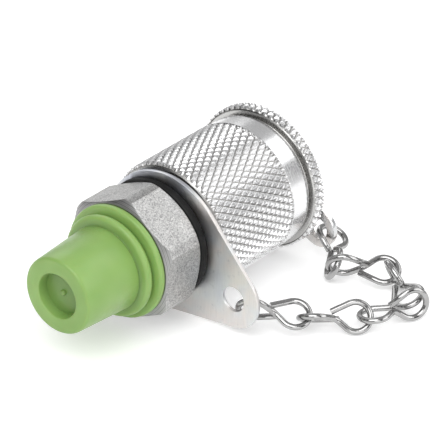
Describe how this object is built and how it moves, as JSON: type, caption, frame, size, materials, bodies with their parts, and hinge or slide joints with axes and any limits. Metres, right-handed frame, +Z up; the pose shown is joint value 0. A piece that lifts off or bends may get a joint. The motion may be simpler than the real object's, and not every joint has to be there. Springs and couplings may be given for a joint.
{
  "type": "hydraulic test point coupling",
  "caption": "Hydraulic test point coupling with hexagon, capped stud, knurled screw cap on a wire chain and swivelling retaining plate.",
  "frame": {"origin": "centre of the sealing face where the port stud leaves the hexagon, on the turning axis", "axes": "+X along the turning axis from the stud to the screw cap, +Z up, the part lying on its side"},
  "size_m": [0.0489, 0.0421, 0.0216],
  "materials": {
    "hex_steel": "matte, turned and drawn hexagon bar",
    "inner_steel": "turned steel",
    "spring_steel": "drawn spring wire",
    "plated_sheet": "zinc plated sheet, faintly iridescent",
    "plated_cap": "bright zinc plate over a knurl",
    "plated_rivet": "plated, semi-bright",
    "chain_wire": "bright nickel plated wire",
    "black_rubber": "matte black elastomer",
    "green_plastic": "satin soft polyethylene"
  },
  "bodies": {
    "coupling": {"coupling_body": "hex_steel", "stud_seal": "black_rubber", "damper_ring": "black_rubber", "valve_insert": "inner_steel", "probe_seal": "black_rubber", "insert_seal": "black_rubber", "valve_spring": "spring_steel"},
    "poppet": {"valve_poppet": "inner_steel", "poppet_seal": "black_rubber"},
    "plate": {"retaining_plate": "plated_sheet"},
    "rivet": {"cap_rivet": "plated_rivet", "rivet_washer": "plated_sheet"},
    "cap": {"screw_cap": "plated_cap", "cap_seal": "black_rubber"},
    "tag": {"chain_tag": "plated_sheet"},
    "stud_cap": {"protective_cap": "green_plastic"},
    "link_1": {"chain_link_1": "chain_wire"},
    "link_2": {"chain_link_2": "chain_wire"},
    "link_3": {"chain_link_3": "chain_wire"},
    "link_4": {"chain_link_4": "chain_wire"},
    "link_5": {"chain_link_5": "chain_wire"},
    "link_6": {"chain_link_6": "chain_wire"}
  },
  "joints": [
    {"name": "plate_swivel", "type": "hinge", "parent": "coupling", "child": "plate", "pos_m": [0.009, 0, 0], "axis": [1, 0, 0], "continuous": true},
    {"name": "cap_travel", "type": "slide", "parent": "coupling", "child": "rivet", "axis": [1, 0, 0], "range_m": [0, 0.0111]},
    {"name": "cap_turn", "type": "hinge", "parent": "rivet", "child": "cap", "pos_m": [0.02, 0, 0], "axis": [1, 0, 0], "range_deg": [0, 1980]},
    {"name": "tag_swivel", "type": "hinge", "parent": "rivet", "child": "tag", "pos_m": [0.03275, 0, 0], "axis": [1, 0, 0], "continuous": true},
    {"name": "plug_pull", "type": "slide", "parent": "coupling", "child": "stud_cap", "axis": [-1, 0, 0], "range_m": [0, 0.012]},
    {"name": "valve_lift", "type": "slide", "parent": "coupling", "child": "poppet", "axis": [-1, 0, 0], "range_m": [0, 0.0015], "stiffness_N_per_m": 400, "springref_m": -0.003, "deforming": ["valve_spring"]},
    {"name": "chain_hinge_1", "type": "hinge", "parent": "plate", "child": "link_1", "pos_m": [0.0098, -0.01305, -0.00684], "axis": [-0.3178, -0.3936, 0.8626], "range_deg": [0, 25]},
    {"name": "chain_hinge_2", "type": "hinge", "parent": "link_1", "child": "link_2", "pos_m": [0.01444, -0.02002, -0.00826], "axis": [-0.5499, -0.5952, 0.586], "range_deg": [-22, 0]},
    {"name": "chain_hinge_3", "type": "hinge", "parent": "link_2", "child": "link_3", "pos_m": [0.02126, -0.02708, -0.00904], "axis": [-0.4669, -0.3627, -0.8065], "range_deg": [0, 15]},
    {"name": "chain_hinge_4", "type": "hinge", "parent": "link_3", "child": "link_4", "pos_m": [0.02896, -0.03082, -0.00848], "axis": [-0.0336, -0.1394, -0.9897], "range_deg": [0, 22]},
    {"name": "chain_hinge_5", "type": "hinge", "parent": "link_4", "child": "link_5", "pos_m": [0.03394, -0.0223, -0.00856], "axis": [0.7154, 0.518, 0.4688], "range_deg": [-6, 0]},
    {"name": "chain_hinge_6", "type": "hinge", "parent": "link_5", "child": "link_6", "pos_m": [0.02796, -0.0145, -0.00804], "axis": [0.3443, 0.3225, -0.8817], "range_deg": [-12, 0]}
  ],
  "couplings": [
    {"joint": "cap_travel", "follows": "cap_turn", "m_per_rad": 0.00031831},
    {"joint": "tag_swivel", "follows": "plate_swivel", "ratio": 1},
    {"joint": "chain_hinge_1", "follows": "cap_turn", "ratio": 0.011913},
    {"joint": "chain_hinge_2", "follows": "cap_turn", "ratio": -0.010351},
    {"joint": "chain_hinge_3", "follows": "cap_turn", "ratio": 0.00705},
    {"joint": "chain_hinge_4", "follows": "cap_turn", "ratio": 0.010575},
    {"joint": "chain_hinge_5", "follows": "cap_turn", "ratio": -0.002195},
    {"joint": "chain_hinge_6", "follows": "cap_turn", "ratio": -0.005217}
  ]
}
